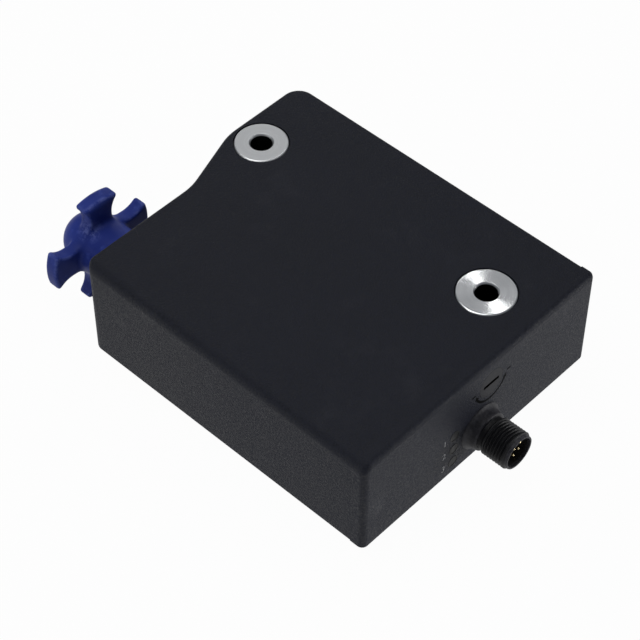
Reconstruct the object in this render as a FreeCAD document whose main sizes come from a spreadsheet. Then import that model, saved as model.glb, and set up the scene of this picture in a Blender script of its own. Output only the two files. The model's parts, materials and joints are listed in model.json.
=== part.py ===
import FreeCAD, Part
import math
import os
import Sketcher

# Solenoid interlock with a rotary cross, as separate parts in one frame.
# Origin: midway between the two fixing holes, on the mounting plane.
# +X towards the connector, +Y away from the label side, +Z out of the mounting plane.

V = FreeCAD.Vector
doc = FreeCAD.newDocument("interlock")
sheet = doc.addObject("Spreadsheet::Sheet", "dims")

# Driving dimensions in millimetres (the *_angle ones in degrees).
DIMENSIONS = [
    # housing
    ("case_height", 35.0), ("hole_spacing", 87.0),
    ("face_connector", 61.25), ("face_recess", 45.7), ("face_ear", 53.4),
    ("face_label", 68.9), ("face_far", 26.0), ("ramp_start", 26.8), ("ramp_end", 4.3),
    ("round_front", 2.0), ("round_left", 3.5), ("round_right", 2.0), ("round_ear", 5.6),
    ("round_ramp", 20.0), ("edge_label", 3.2), ("edge_connector", 1.9), ("edge_other", 1.2),
    ("edge_foot", 0.6), ("wall", 3.0), ("roof", 2.8), ("rim_wall", 1.6), ("rim_gap", 0.1),
    ("rib_thick", 1.6), ("rib_height", 2.2), ("pad_wall", 2.6), ("pad_depth", 7.0),
    ("cap_thick", 4.6), ("cap_proud", 0.2), ("cap_plate", 2.4), ("cap_border", 3.4),
    ("cap_pin_r", 1.2), ("cap_pin_length", 1.8),
    # back cover and its screws
    ("cover_thick", 2.4), ("seal_thick", 0.8), ("seal_gap", 0.15), ("cover_rib_height", 2.0),
    ("post_r", 3.4), ("post_inset", 6.1), ("post_height", 9.0), ("pilot_r", 1.25),
    ("pilot_depth", 9.5), ("screw_hole_r", 1.7), ("screw_head_r", 2.9), ("screw_head", 1.5),
    ("screw_length", 8.8), ("screw_slot", 0.7),
    # fixing bushes
    ("bush_bore_r", 3.3), ("bush_tube_r", 5.2), ("bush_head_left_r", 8.2),
    ("bush_head_right_r", 8.8), ("bush_head_thick", 2.0), ("bush_chamfer", 0.5),
    ("bush_ring_gap", 0.25), ("column_r", 8.0), ("fit_gap", 0.05),
    # rotary cross and its shaft
    ("cross_y", -50.7), ("cross_angle", -3.7), ("cross_reach", 18.4), ("cross_front", 63.8),
    ("arm_thick", 4.6), ("gap_centre", 11.55), ("gap_r", 7.3), ("arm_edge", 0.8),
    ("hub_r", 9.1), ("hub_gap", 0.4), ("dome_centre", 63.4), ("dome_r", 8.9),
    ("shaft_r", 4.0), ("shaft_tail", 1.7), ("shaft_socket", 13.0), ("clip_thick", 0.8),
    ("running_gap", 0.05), ("bearing_r", 7.0), ("bearing_flange_r", 9.2),
    ("bearing_flange", 1.8), ("bearing_length", 12.0), ("shaft_seal_width", 1.6),
    ("disc_r", 9.6), ("disc_thick", 4.0), ("disc_hub_r", 5.6), ("disc_hub", 6.4),
    ("disc_clear", 0.8), ("notch_width", 6.2), ("notch_depth", 3.4), ("disc_bore_gap", 0.03),
    ("dimple_circle_r", 7.6), ("dimple_r", 1.8), ("block_x", -19.0), ("block_thick", 6.4),
    ("block_half", 9.0), ("plunger_r", 1.5), ("plunger_clear", 0.1), ("plunger_rod", 3.4),
    # solenoid and lock bolt
    ("coil_y", -20.0), ("coil_length", 27.0), ("coil_r", 7.9), ("bobbin_r", 5.2),
    ("bobbin_bore_r", 4.3), ("bobbin_flange", 1.4), ("yoke_thick", 2.0), ("yoke_width", 17.0),
    ("armature_r", 4.2), ("armature_length", 20.0), ("rod_r", 1.5), ("bolt_width", 4.6),
    ("bolt_throw", 3.6), ("bolt_clear", 0.6), ("bolt_nose", 1.4), ("bolt_flange_r", 5.4),
    ("bolt_flange", 1.8), ("bolt_back", 2.6), ("guide_thick", 2.4), ("guide_width", 13.0),
    ("pole_length", 11.0),
    # circuit board
    ("board_thick", 1.6), ("peg_height", 2.2), ("peg_r", 2.2), ("peg_inset", 3.0),
    ("board_clear", 1.1),
    # connector
    ("plug_y", -21.5), ("plug_z", 10.8), ("plug_base_r", 7.8), ("plug_base", 1.2),
    ("plug_collar_r", 6.2), ("plug_collar", 3.6), ("plug_relief_r", 5.3), ("plug_relief", 4.9),
    ("thread_r", 5.95), ("thread_end", 12.8), ("plug_lip_r", 5.4), ("plug_end", 14.1),
    ("plug_bore_r", 4.75), ("plug_floor", 4.6), ("plug_stem_r", 5.4), ("plug_tail", 9.0),
    ("pin_r", 0.4), ("pin_circle_r", 2.75), ("pin_tip", 12.4), ("nut_r", 8.0), ("nut_thick", 2.4),
    # indicators and release
    ("lamp_y", -32.5), ("lamp_z_top", 16.0), ("lamp_pitch", 5.5), ("lamp_r", 1.6),
    ("lamp_collar", 1.0), ("release_y", -18.1), ("release_head_r", 4.8),
    ("release_head", 1.9), ("release_stem_r", 1.8), ("release_slot", 1.1),
    ("release_slot_depth", 1.4), ("release_gap", 0.08), ("cam_reach", 5.4), ("cam_thick", 2.8),
    ("cam_clear", 0.8), ("release_seal", 1.2),
]
DIM = dict(DIMENSIONS)
for row, (alias, value) in enumerate(DIMENSIONS, start=1):
    sheet.set("A%d" % row, alias)
    sheet.set("B%d" % row, repr(value))
    sheet.setAlias("B%d" % row, alias)
doc.recompute()


class Dim:
    """A driving dimension kept both as a number and as a spreadsheet expression."""

    def __init__(self, value, text):
        self.value, self.text = value, text

    @staticmethod
    def of(other):
        return other if isinstance(other, Dim) else Dim(float(other), repr(float(other)))

    def _join(self, other, sign, value):
        return Dim(value, "(%s %s %s)" % (self.text, sign, Dim.of(other).text))

    def __add__(self, other):
        return self._join(other, "+", self.value + Dim.of(other).value)

    def __sub__(self, other):
        return self._join(other, "-", self.value - Dim.of(other).value)

    def __mul__(self, other):
        return self._join(other, "*", self.value * Dim.of(other).value)

    def __truediv__(self, other):
        return self._join(other, "/", self.value / Dim.of(other).value)

    def __radd__(self, other):
        return Dim.of(other) + self

    def __rsub__(self, other):
        return Dim.of(other) - self

    def __rmul__(self, other):
        return Dim.of(other) * self

    def __neg__(self):
        return Dim.of(0) - self


class Dimensions:
    """dims.case_height and so on, each one a Dim."""

    def __getattr__(self, name):
        return Dim(DIM[name], "dims." + name)


d = Dimensions()
SEAM = d.face_connector - d.cap_thick
TURN = {"x": FreeCAD.Rotation(V(0, 1, 0), 90), "y": FreeCAD.Rotation(V(1, 0, 0), -90),
        "-x": FreeCAD.Rotation(V(0, 1, 0), -90), "z": FreeCAD.Rotation()}
NODES = {}
AXIS_ROLE = {"XY": "XY_Plane", "XZ": "XZ_Plane", "YZ": "YZ_Plane"}


def number(value):
    return Dim.of(value).value


def bind(obj, prop, value):
    """Sets a property, by expression where the value comes from the dimension sheet."""
    value = Dim.of(value)
    if value.text.startswith(("dims", "(")):
        obj.setExpression(prop, value.text)
    else:
        setattr(obj, prop, value.value)


def place(obj, at, axis="z"):
    obj.Placement = FreeCAD.Placement(V(*[number(a) for a in at]), TURN[axis])
    for letter, value in zip("xyz", at):
        value = Dim.of(value)
        if value.text.startswith(("dims", "(")):
            obj.setExpression(".Placement.Base." + letter, value.text)
    return obj


def box(name, size, at, centred=""):
    """Block of the given size; the letters in centred say where at is its middle."""
    obj = doc.addObject("Part::Box", name)
    for prop, value in zip(("Length", "Width", "Height"), size):
        bind(obj, prop, value)
    at = [Dim.of(a) - Dim.of(s) / 2 if letter in centred else a
          for a, s, letter in zip(at, size, "xyz")]
    return place(obj, at)


def rod(name, radius, length, at, axis="z"):
    obj = doc.addObject("Part::Cylinder", name)
    bind(obj, "Radius", radius)
    bind(obj, "Height", length)
    return place(obj, at, axis)


def cone(name, radius, end_radius, length, at, axis="z"):
    obj = doc.addObject("Part::Cone", name)
    bind(obj, "Radius1", radius)
    bind(obj, "Radius2", end_radius)
    bind(obj, "Height", length)
    return place(obj, at, axis)


def ball(name, radius, at):
    obj = doc.addObject("Part::Sphere", name)
    bind(obj, "Radius", radius)
    return place(obj, at)


def fuse(name, shapes):
    obj = doc.addObject("Part::MultiFuse", name)
    obj.Shapes = shapes
    return obj


def cut(name, base, tools):
    obj = doc.addObject("Part::Cut", name)
    obj.Base = base
    obj.Tool = tools[0] if len(tools) == 1 else fuse(name + "_tools", tools)
    return obj


def tube(name, radius, bore, length, at, axis="z"):
    return cut(name, rod(name + "_outer", radius, length, at, axis),
               [rod(name + "_inner", bore, length, at, axis)])


def group(name, shapes):
    """Several equal solids kept as one node."""
    obj = doc.addObject("Part::Compound", name)
    obj.Links = shapes
    return obj


def node(name, obj):
    obj.Label = name
    NODES[name] = obj
    return obj


def new_body(name):
    body = doc.addObject("PartDesign::Body", name)
    body.Label = name
    return body


def sketch_on(body, name, role, offset=0.0):
    """Sketch on one of the body's own origin planes, moved along its normal."""
    sketch = body.newObject("Sketcher::SketchObject", name)
    plane = [f for f in body.Origin.OriginFeatures if f.Role == AXIS_ROLE[role]][0]
    sketch.AttachmentSupport = [(plane, "")]
    sketch.MapMode = "FlatFace"
    sketch.AttachmentOffset = FreeCAD.Placement(V(0, 0, number(offset)), FreeCAD.Rotation())
    if isinstance(offset, Dim):
        sketch.setExpression(".AttachmentOffset.Base.z", offset.text)
    return sketch


def polygon(sketch, points):
    """Closed line loop through the points."""
    points = [V(number(a), number(b), 0) for a, b in points]
    for here, there in zip(points, points[1:] + points[:1]):
        sketch.addGeometry(Part.LineSegment(here, there), False)


def circle(sketch, radius, centre=(0, 0)):
    """Circle whose radius and centre follow the dimension sheet."""
    at = V(number(centre[0]), number(centre[1]), 0)
    index = sketch.addGeometry(Part.Circle(at, V(0, 0, 1), number(radius)), False)
    named = [("Radius", radius, (index,)), ("DistanceX", centre[0], (-1, 1, index, 3)),
             ("DistanceY", centre[1], (-1, 1, index, 3))]
    for kind, value, where in named:
        value = Dim.of(value)
        if abs(value.value) < 1e-9:
            other = "DistanceX" if kind == "DistanceX" else "DistanceY"
            sketch.addConstraint(Sketcher.Constraint(other, *where, 0.0))
            continue
        spot = sketch.addConstraint(Sketcher.Constraint(kind, *where, value.value))
        if value.text.startswith(("dims", "(")):
            sketch.setExpression("Constraints[%d]" % spot, value.text)


def rounded_loop(corners, offset=0.0):
    """Lines and arcs of a closed outline of (x, y, corner radius), moved inwards by offset."""
    count = len(corners)
    sides = []
    for i in range(count):
        a, b = V(*corners[i][:2], 0), V(*corners[(i + 1) % count][:2], 0)
        along = (b - a).normalize()
        inward = V(-along.y, along.x, 0)
        sides.append((a + inward * offset, along))
    moved = []
    for i in range(count):
        (p, u), (q, w) = sides[i - 1], sides[i]
        cross = u.x * w.y - u.y * w.x
        step = ((q.x - p.x) * w.y - (q.y - p.y) * w.x) / cross
        turn_left = cross > 0
        radius = corners[i][2]
        radius = max(radius - offset, 0.4) if turn_left else radius + offset
        moved.append((p + u * step, u, w, radius if corners[i][2] else 0.0))
    pieces, start = [], None
    ends = []
    for corner, u, w, radius in moved:
        half = math.acos(max(-1, min(1, u.dot(w)))) / 2
        back = radius * math.tan(half)
        ends.append((corner - u * back, corner + w * back, corner, u, w, radius))
    for i, (before, after, corner, u, w, radius) in enumerate(ends):
        if radius:
            inner = (w - u).normalize()
            half = math.acos(max(-1, min(1, u.dot(w)))) / 2
            centre = corner + inner * (radius / math.cos(half))
            middle = centre - inner * radius
            pieces.append(Part.Arc(before, middle, after))
        pieces.append(Part.LineSegment(after, ends[(i + 1) % count][0]))
    return pieces


def outline(offset=0.0):
    """Plan of the moulded shell, up to the joint with the end cap."""
    v = lambda name: DIM[name]
    corners = [
        (-v("face_recess"), -v("face_label"), v("round_left") if offset else 0.0),
        (number(SEAM), -v("face_label"), 0.0),
        (number(SEAM), v("face_far"), 0.0),
        (-v("face_ear"), v("face_far"), v("round_ear")),
        (-v("face_ear"), -v("ramp_end"), v("round_ramp")),
        (-v("face_recess"), -v("ramp_start"), v("round_ramp")),
    ]
    return rounded_loop(corners, offset)


def slab(name, loop, base, thickness, holes=()):
    """Plate padded from a closed loop, with round holes through it."""
    body = new_body(name)
    plan = sketch_on(body, name + "_plan", "XY", base)
    for piece in loop:
        plan.addGeometry(piece, False)
    for x, y, radius in holes:
        circle(plan, radius, (x, y))
    pad = body.newObject("PartDesign::Pad", name + "_pad")
    pad.Profile = plan
    bind(pad, "Length", thickness)
    doc.recompute()
    return body


def turned(name, points, at, axis):
    """Body turned from a closed profile of (distance along the axis, radius)."""
    body = new_body(name)
    profile = sketch_on(body, name + "_profile", "XZ")
    polygon(profile, [(radius, along) for along, radius in points])
    turn = body.newObject("PartDesign::Revolution", name + "_turned")
    turn.Profile = profile
    turn.ReferenceAxis = (profile, ["V_Axis"])
    turn.Angle = 360.0
    doc.recompute()
    place(body, at, axis)
    return body


def edges_where(shape, test):
    return [i for i, edge in enumerate(shape.Edges, start=1) if test(edge)]


def rounded(name, base, choices):
    """Fillet of base: choices are (test, radius or None to leave the edge as it is).

    Each edge takes the first test that it meets.
    """
    doc.recompute()
    picked, edges = set(), []
    for test, radius in choices:
        for index in edges_where(base.Shape, test):
            if index not in picked:
                picked.add(index)
                if radius is not None:
                    edges.append((index, number(radius), number(radius)))
    obj = doc.addObject("Part::Fillet", name)
    obj.Base = base
    obj.Edges = edges
    doc.recompute()
    return obj


HALF_SPACING = d.hole_spacing / 2
BUSHES = [(-HALF_SPACING, d.bush_head_left_r), (HALF_SPACING, d.bush_head_right_r)]
LEDGE = d.cover_thick + d.seal_thick
CEILING = d.case_height - d.roof
# Joint between shell and end cap, and the inner face of the shell's end wall.
INSIDE = SEAM - d.wall
# Cover screws stand in posts along the two long walls: (x, y).
LABEL_POSTS, FAR_POSTS = d.post_inset - d.face_label, d.face_far - d.post_inset
END_POSTS = SEAM - d.post_inset
SCREWS = [(-31.0, LABEL_POSTS), (8.0, LABEL_POSTS), (END_POSTS, LABEL_POSTS),
          (END_POSTS, FAR_POSTS), (3.0, FAR_POSTS), (d.post_inset + 1.0 - d.face_ear, FAR_POSTS)]
# The cross turns on a line through the middle of the housing's height.
CROSS_Z = d.case_height / 2
PAD_R = d.bearing_r + d.pad_wall
QUARTERS = [math.radians(45 + 90 * k + DIM["cross_angle"]) for k in range(4)]
# Along the shaft: disc with its hub, block, clip, then the shaft's end.
DISC_X = d.block_x - d.disc_clear - d.disc_hub
CLIP_X = d.block_x + d.block_thick + 0.1
DETENT = (d.cross_y + d.dimple_circle_r * math.cos(QUARTERS[1]),
          CROSS_Z + d.dimple_circle_r * math.sin(QUARTERS[1]))
# The solenoid stands square to the shaft, in the plane of the disc.
COIL_X = DISC_X + d.disc_thick / 2
YOKE_TOP = CROSS_Z + d.yoke_width / 2
BOLT_FRONT = d.cross_y + d.disc_r + d.bolt_clear
GUIDE_Y = BOLT_FRONT + d.bolt_nose
BOLT_FLANGE_Y = d.coil_y - d.yoke_thick - d.bolt_back - d.bolt_flange
# The release cam stands beside the yoke, the board beyond it and above the stem.
CAM_X = COIL_X + d.yoke_width / 2 + d.yoke_thick + d.cam_clear
BOARD_Z = CEILING - d.peg_height - d.board_thick
BOARD_X = (CAM_X + d.cam_thick + d.board_clear, INSIDE - d.release_seal - 0.05 - d.board_clear)
BOARD_Y = (4.0 + d.wall - d.face_label, -1.4 - d.column_r)
RELEASE_Z = BOARD_Z - d.release_stem_r - 0.4
BOARD_PEGS = [(BOARD_X[0] + d.peg_inset, BOARD_Y[0] + d.peg_inset),
              (BOARD_X[1] - d.peg_inset, BOARD_Y[0] + d.peg_inset),
              (BOARD_X[1] - d.peg_inset, BOARD_Y[1] - d.peg_inset),
              (BOARD_X[0] + d.peg_inset, BOARD_Y[1] - d.peg_inset)]
LAMPS = [d.lamp_z_top - d.lamp_pitch * i for i in range(3)]


def at_height(edge, z):
    return all(abs(v.Z - number(z)) < 1e-3 for v in edge.Vertexes)


def upright_at(x, y):
    """Test for the upright edge at a corner of the plan."""
    return lambda e: all(abs(v.X - number(x)) < 1e-3 and abs(v.Y - number(y)) < 1e-3
                         for v in e.Vertexes)


def level_line(axis, value, z):
    """Test for a level edge at height z along which x or y keeps one value."""
    pick = (lambda v: v.X) if axis == "x" else (lambda v: v.Y)
    return lambda e: at_height(e, z) and all(abs(pick(v) - number(value)) < 1e-3
                                             for v in e.Vertexes)


def end_holes(name, start, length):
    """What passes through the connector end: plug, light pipes and release stem."""
    holes = [rod(name + "_plug", d.plug_stem_r + 0.1, length, (start, d.plug_y, d.plug_z), "x"),
             rod(name + "_release", d.release_stem_r + d.release_gap, length,
                 (start, d.release_y, RELEASE_Z), "x")]
    return holes + [rod("%s_lamp_%d" % (name, i), d.lamp_r + d.fit_gap, length,
                        (start, d.lamp_y, z), "x") for i, z in enumerate(LAMPS)]


def cap_pins(name, radius, start, length):
    """Two rods where pins place the cap on the shell."""
    return [rod("%s_%d" % (name, i), radius, length, (start, y, CROSS_Z), "x")
            for i, y in enumerate((d.cap_border + d.wall - d.face_label,
                                   d.face_far - d.wall - d.cap_border))]


def housing_shell():
    solid = slab("shell_block", outline(), 0.0, d.case_height)
    outer = rounded("shell_outer", solid, [
        (upright_at(-d.face_recess, -d.face_label), d.round_left),
        (level_line("x", SEAM, d.case_height), None),
        (level_line("y", -d.face_label, d.case_height), d.edge_label),
        (lambda e: at_height(e, d.case_height), d.edge_other)])
    outer = rounded("shell_rounded", outer, [
        (level_line("x", SEAM, 0.0), None),
        (lambda e: at_height(e, 0.0), d.edge_foot)])
    space = slab("shell_space", outline(DIM["wall"]), LEDGE, CEILING - LEDGE)
    keep = [rod("column_%d" % i, d.column_r + 0.6 * i, d.case_height, (x, 0, 0))
            for i, (x, _) in enumerate(BUSHES)]
    keep += [rod("post_%d" % i, d.post_r, d.post_height, (x, y, LEDGE))
             for i, (x, y) in enumerate(SCREWS)]
    # ribs under the big face, between the columns and along the far wall
    rib_z = CEILING - d.rib_height
    keep += [box("roof_rib_%d" % i, (d.rib_thick, d.face_far + 4.0, d.rib_height), (x, -6.0, rib_z))
             for i, x in enumerate((-20.0, -2.0, 16.0))]
    rib_length = d.hole_spacing - 2 * d.column_r
    keep += [box("long_rib", (rib_length, d.rib_thick, d.rib_height),
                 (rib_length / -2, 0.0, rib_z))]
    # four pegs that carry the circuit board
    keep += [rod("board_peg_%d" % i, d.peg_r, d.peg_height, (x, y, CEILING - d.peg_height))
             for i, (x, y) in enumerate(BOARD_PEGS)]
    # pads that carry the solenoid yoke
    keep += [box("yoke_pad_%d" % i, (8.0, 5.0, CEILING - YOKE_TOP), (COIL_X - 4.0, y, YOKE_TOP))
             for i, y in enumerate((d.coil_y + 2.0, d.coil_y + d.coil_length - 5.0))]
    # thick pad behind the recessed face that carries the shaft bearing
    keep += [rod("bearing_pad", PAD_R, d.pad_depth + 1.0,
                 (1.0 - d.face_recess, d.cross_y, CROSS_Z), "x")]
    space = cut("shell_hollow", space, keep)
    rim = slab("rim_recess", outline(DIM["rim_wall"]), -1.0, LEDGE + 1.0)
    holes = [rim]
    for i, (x, head_r) in enumerate(BUSHES):
        holes.append(rod("bush_hole_%d" % i, d.bush_tube_r + d.fit_gap, d.case_height, (x, 0, 0)))
        depth = d.bush_head_thick + d.fit_gap
        holes.append(rod("bush_seat_%d" % i, head_r + d.bush_ring_gap, depth,
                         (x, 0, d.case_height - depth)))
    holes += [rod("screw_pilot_%d" % i, d.pilot_r, d.pilot_depth, (x, y, LEDGE - 1.0))
              for i, (x, y) in enumerate(SCREWS)]
    holes.append(rod("bearing_hole", d.bearing_r + d.fit_gap, d.pad_depth + 5.0,
                     (-d.face_recess - 1.0, d.cross_y, CROSS_Z), "x"))
    holes += end_holes("wall_hole", INSIDE - 1.0, d.wall + 2.0)
    socket = d.cap_pin_length + 0.2
    holes += cap_pins("pin_socket", d.cap_pin_r + d.fit_gap, SEAM - socket, socket)
    return cut("front_shell", outer, [space] + holes)


def end_cap():
    """Moulded cap over the connector end, a little proud of the shell all round."""
    proud, border = d.cap_proud, d.cap_border
    low_y, high_y = -d.face_label - proud, d.face_far + proud
    top = d.case_height + proud
    block = box("cap_block", (d.cap_thick, high_y - low_y, top), (SEAM, low_y, 0.0))
    outer = rounded("cap_outer", block, [
        (upright_at(d.face_connector, low_y), d.round_front),
        (upright_at(d.face_connector, high_y), d.round_right),
        (level_line("y", low_y, top), d.edge_label),
        (level_line("y", high_y, top), d.edge_other),
        (level_line("x", d.face_connector, top), d.edge_connector)])
    outer = rounded("cap_rounded", outer, [
        (level_line("x", SEAM, 0.0), None),
        (lambda e: at_height(e, 0.0), d.edge_foot)])
    # the back is hollowed, with bosses left round what passes through
    depth = d.cap_thick - d.cap_plate
    pocket = box("cap_pocket", (depth, high_y - low_y - 2 * border, top - 2 * border),
                 (SEAM, low_y + border, border))
    bosses = [rod("plug_boss", d.plug_stem_r + 3.2, depth, (SEAM, d.plug_y, d.plug_z), "x"),
              rod("release_boss", d.release_head_r + 1.6, depth, (SEAM, d.release_y, RELEASE_Z),
                  "x"),
              box("lamp_boss", (depth, 2 * d.lamp_r + 3.0, 2 * d.lamp_pitch + 2 * d.lamp_r + 3.0),
                  (SEAM, d.lamp_y, LAMPS[1]), "yz")]
    bosses += cap_pins("pin_boss", d.cap_pin_r + 1.6, SEAM, depth)
    seat = rod("release_seat", d.release_head_r + d.release_gap, d.release_head + 1.05,
               (d.face_connector - d.release_head - 0.05, d.release_y, RELEASE_Z), "x")
    hollow = cut("cap_hollow", pocket, bosses)
    body = cut("cap_solid", outer, [hollow, seat] + end_holes("cap_hole", SEAM - 1.0,
                                                              d.cap_thick + 2.0))
    # each pin runs from its boss in the cap to its socket in the shell's end wall
    pins = cap_pins("cap_pin", d.cap_pin_r, SEAM - d.cap_pin_length, d.cap_pin_length + 1.0)
    node("end_cap", fuse("end_cap", [body] + pins))


def back_parts():
    edge = DIM["rim_wall"] + DIM["rim_gap"]
    holes = [(x, 0.0, d.bush_tube_r + d.seal_gap) for x, _ in BUSHES]
    plate = slab("cover_plate", outline(edge), 0.0, d.cover_thick, holes)
    sinks, screws = [], []
    for i, (x, y) in enumerate(SCREWS):
        sinks.append(rod("cover_hole_%d" % i, d.screw_hole_r, d.cover_thick, (x, y, 0)))
        sinks.append(cone("cover_sink_%d" % i, d.screw_head_r + 0.2, d.screw_hole_r - 0.1,
                          d.screw_head, (x, y, 0)))
        head = fuse("screw_%d_solid" % i, [
            cone("screw_head_%d" % i, d.screw_head_r, d.screw_hole_r - 0.3, d.screw_head,
                 (x, y, d.seal_gap)),
            rod("screw_shank_%d" % i, d.pilot_r - 0.03, d.screw_length, (x, y, 0.6))])
        long, narrow = d.screw_head_r, d.screw_slot
        recess = [box("screw_slot_%d" % i, (long, narrow, 0.9), (x, y, 0.1), "xy"),
                  box("screw_cross_%d" % i, (narrow, long, 0.9), (x, y, 0.1), "xy")]
        screws.append(cut("screw_%d" % i, head, recess))
    # stiffening ribs on the inside of the cover
    ribs = [box("cover_rib_%d" % i, (1.4, 34.0, d.cover_rib_height), (x, -52.0, d.cover_thick))
            for i, x in enumerate((4.0, 22.0, 40.0))]
    node("back_cover", cut("back_cover", fuse("cover_ribbed", [plate] + ribs), sinks))
    node("cover_screws", group("cover_screws", screws))
    ring = slab("seal_plate", outline(DIM["rim_wall"] + DIM["seal_gap"]), d.cover_thick,
                d.seal_thick)
    inner = slab("seal_window", outline(DIM["wall"] - 0.1), d.cover_thick - 1.0,
                 d.seal_thick + 2.0)
    node("cover_seal", cut("cover_seal", ring, [inner]))
    rings = [tube("bush_seal_%d" % i, d.bush_tube_r + 1.7, d.bush_tube_r + 0.1, d.seal_thick,
                  (x, 0, d.cover_thick)) for i, (x, _) in enumerate(BUSHES)]
    node("bush_seals", group("bush_seals", rings))


def fixing_bushes():
    names = ["fixing_bush_left", "fixing_bush_right"]
    for name, (x, head_r) in zip(names, BUSHES):
        height, thick, chamfer = d.case_height, d.bush_head_thick, d.bush_chamfer
        bore, tube_r = d.bush_bore_r, d.bush_tube_r
        profile = [(0, bore), (height - chamfer, bore),
                   (height, bore + chamfer), (height, head_r - 0.3), (height - 0.3, head_r),
                   (height - thick, head_r), (height - thick, tube_r), (0.4, tube_r),
                   (0, tube_r - 0.4)]
        node(name, turned(name, profile, (x, 0, 0), "z"))


def arc_through(centre, radius, start, end):
    """Arc of a circle from start to end (degrees, counter-clockwise)."""
    return Part.ArcOfCircle(Part.Circle(V(centre[0], centre[1], 0), V(0, 0, 1), radius),
                            math.radians(start), math.radians(end))


def rotary_cross():
    """Four flared arms round a hub with a domed end, turning about X."""
    reach, c, r = DIM["cross_reach"], DIM["gap_centre"], DIM["gap_r"]
    # where a gap circle centred on the diagonal meets the tip circle
    far = math.hypot(c, c)
    spread = math.acos((reach ** 2 + far ** 2 - r ** 2) / (2 * reach * far))
    body = new_body("cross_arms")
    plan = sketch_on(body, "cross_plan", "YZ", -d.cross_front)
    y0, z0 = DIM["cross_y"], number(CROSS_Z)
    for diagonal in QUARTERS:
        centre = (y0 + far * math.cos(diagonal), z0 + far * math.sin(diagonal))
        low, high = diagonal - spread, diagonal + spread
        points = [(y0 + reach * math.cos(a), z0 + reach * math.sin(a)) for a in (low, high)]
        angles = [math.degrees(math.atan2(p[1] - centre[1], p[0] - centre[0])) for p in points]
        start, end = angles[1], angles[0]
        while end < start:
            end += 360
        plan.addGeometry(arc_through(centre, r, start, end), False)
        tip_start, tip_end = math.degrees(high), math.degrees(low) + 90
        plan.addGeometry(arc_through((y0, z0), reach, tip_start, tip_end), False)
    pad = body.newObject("PartDesign::Pad", "cross_pad")
    pad.Profile = plan
    bind(pad, "Length", d.arm_thick)
    doc.recompute()
    arms = rounded("cross_arms_rounded", body, [(lambda e: True, d.arm_edge)])
    hub_start = d.face_recess + d.hub_gap
    hub = fuse("cross_hub", [
        cone("hub_barrel", d.dome_r, d.hub_r, d.dome_centre - hub_start,
             (-d.dome_centre, d.cross_y, CROSS_Z), "x"),
        ball("hub_dome", d.dome_r, (-d.dome_centre, d.cross_y, CROSS_Z))])
    whole = fuse("cross_solid", [arms, hub])
    socket = rod("cross_socket", d.shaft_r + 0.02, d.shaft_socket + 1.0,
                 (-hub_start - d.shaft_socket - 1.0, d.cross_y, CROSS_Z), "x")
    node("rotary_cross", cut("rotary_cross", whole, [socket]))


def shaft_parts():
    y, z = d.cross_y, CROSS_Z
    start = d.face_recess + d.hub_gap + d.shaft_socket
    end = CLIP_X + d.clip_thick + d.shaft_tail
    shaft = rod("shaft_bar", d.shaft_r, end + start, (-start, y, z), "x")
    groove = tube("shaft_groove", d.shaft_r + 1.0, d.shaft_r - 0.6, d.clip_thick + 0.1,
                  (CLIP_X - 0.05, y, z), "x")
    node("cross_shaft", cut("cross_shaft", shaft, [groove]))
    # flanged bearing bush in the wall, with a seal lip let into its outer end
    inner = d.shaft_r + d.running_gap
    bush_end = -d.face_recess
    bush = fuse("bearing_solid", [
        rod("bearing_barrel", d.bearing_r, d.bearing_length, (bush_end, y, z), "x"),
        rod("bearing_flange", d.bearing_flange_r, d.bearing_flange,
            (bush_end + d.pad_depth + 2.05, y, z), "x")])
    node("shaft_bearing", cut("shaft_bearing", bush, [
        rod("bearing_bore", inner, d.bearing_length + 2.0, (bush_end - 1.0, y, z), "x"),
        rod("seal_pocket", d.shaft_r + 1.8, 1.8, (bush_end, y, z), "x")]))
    node("shaft_seal", tube("shaft_seal", d.shaft_r + 1.75, d.shaft_r + 0.06,
                            d.shaft_seal_width, (bush_end + 0.1, y, z), "x"))
    # locking disc with four square-sided notches, and its hub
    disc = fuse("disc_solid", [rod("disc_plate", d.disc_r, d.disc_thick, (DISC_X, y, z), "x"),
                               rod("disc_hub", d.disc_hub_r, d.disc_hub, (DISC_X, y, z), "x")])
    face = DISC_X + d.disc_thick
    notches = [notch(i, 90.0 * i + DIM["cross_angle"]) for i in range(4)]
    dimples = [cone("dimple_%d" % i, d.dimple_r, d.dimple_r - 1.0, 0.9,
                    (face, y + d.dimple_circle_r * math.cos(a),
                     z + d.dimple_circle_r * math.sin(a)), "-x")
               for i, a in enumerate(QUARTERS)]
    bore = rod("disc_bore", d.shaft_r + d.disc_bore_gap, d.disc_hub + 2.0,
               (DISC_X - 1.0, y, z), "x")
    node("locking_disc", cut("locking_disc", disc, notches + dimples + [bore]))
    clip = cut("clip_ring", tube("clip_tube", d.shaft_r + 2.2, d.shaft_r - 0.5, d.clip_thick,
                                 (CLIP_X, y, z), "x"),
               [box("clip_mouth", (2.0, 4.4, 8.0), (CLIP_X - 0.5, y - 2.2, z))])
    node("shaft_clip", clip)
    # inner bearing block, hanging from the roof of the shell
    foot = LEDGE + 2.8
    block = box("block_solid", (d.block_thick, 2 * d.block_half, CEILING - foot),
                (d.block_x, y - d.block_half, foot))
    node("bearing_block", cut("bearing_block", block, [
        rod("block_bore", inner, d.block_thick + 4.0, (d.block_x - 2.0, y, z), "x"),
        rod("detent_bore", d.plunger_r + 0.05, 5.0, (d.block_x - 0.1, *DETENT), "x")]))
    # sprung detent pin in the block, pressing on the dimpled side of the disc
    tip = face + d.plunger_clear
    node("detent_pin", fuse("detent_pin", [
        cone("detent_nose", 0.6, d.plunger_r, 1.1, (tip, *DETENT), "x"),
        rod("detent_rod", d.plunger_r, d.plunger_rod, (tip + 1.1, *DETENT), "x")]))
    node("detent_spring", coil("detent_spring", 1.0, 0.36, (tip + d.plunger_rod + 1.2, *DETENT),
                               3.0, 4, "x"))


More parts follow.
